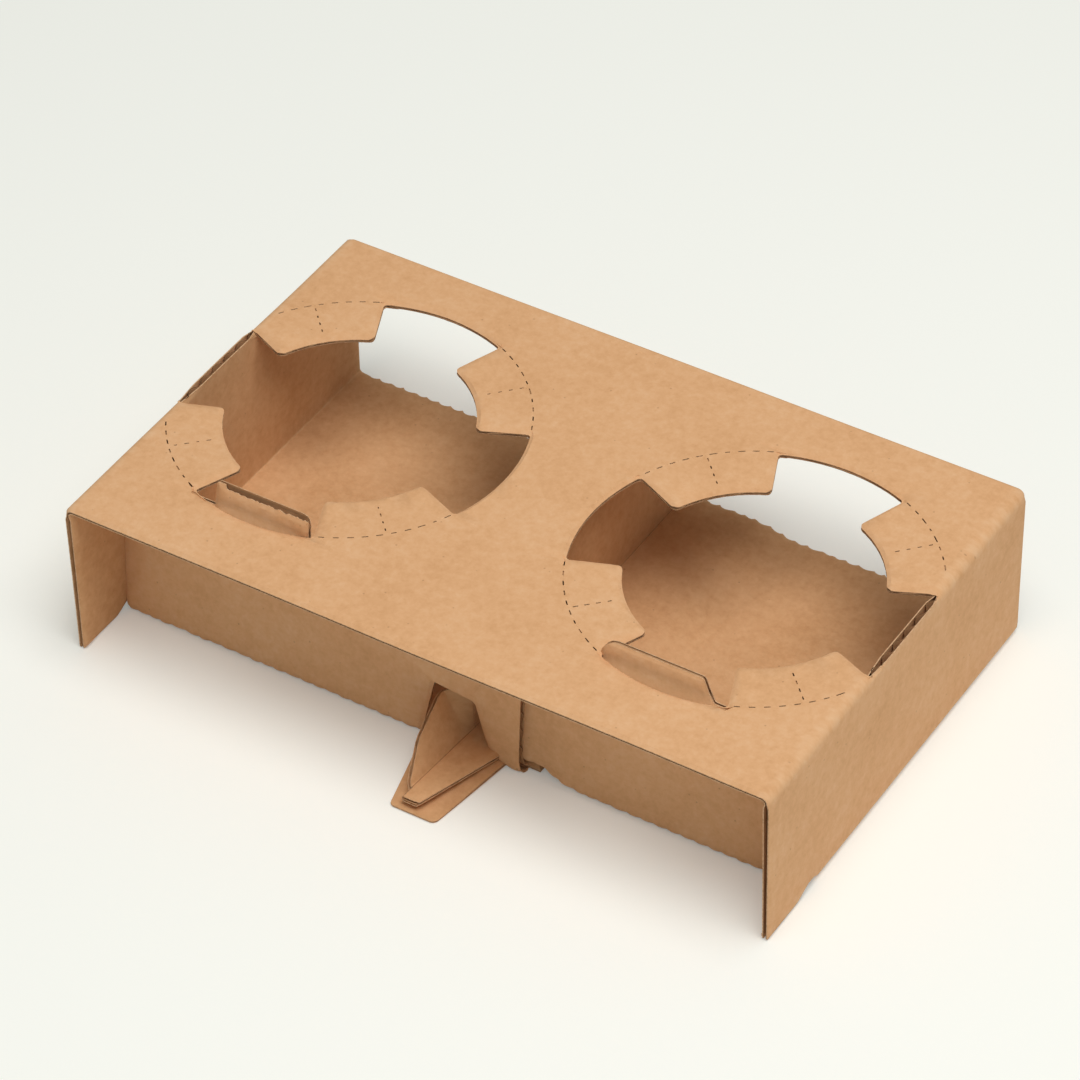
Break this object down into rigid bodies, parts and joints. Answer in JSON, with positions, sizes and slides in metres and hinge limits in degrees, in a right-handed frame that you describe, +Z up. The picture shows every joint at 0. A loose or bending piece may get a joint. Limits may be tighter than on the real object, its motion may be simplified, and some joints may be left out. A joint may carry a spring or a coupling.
{
  "type": "corrugated cup carrier",
  "caption": "Low tray folded from one sheet of corrugated board, with a flapped round well at each end that grips a drink cup.",
  "frame": {"origin": "middle of the box's base, on the plane it stands on", "axes": "+X along the length, +Y towards the open back, +Z up through the cup holes"},
  "size_m": [0.2134, 0.142, 0.0556],
  "materials": {
    "kraft_board": "matt uncoated brown kraft"
  },
  "bodies": {
    "root": {"folded_carrier": "kraft_board"}
  },
  "joints": []
}
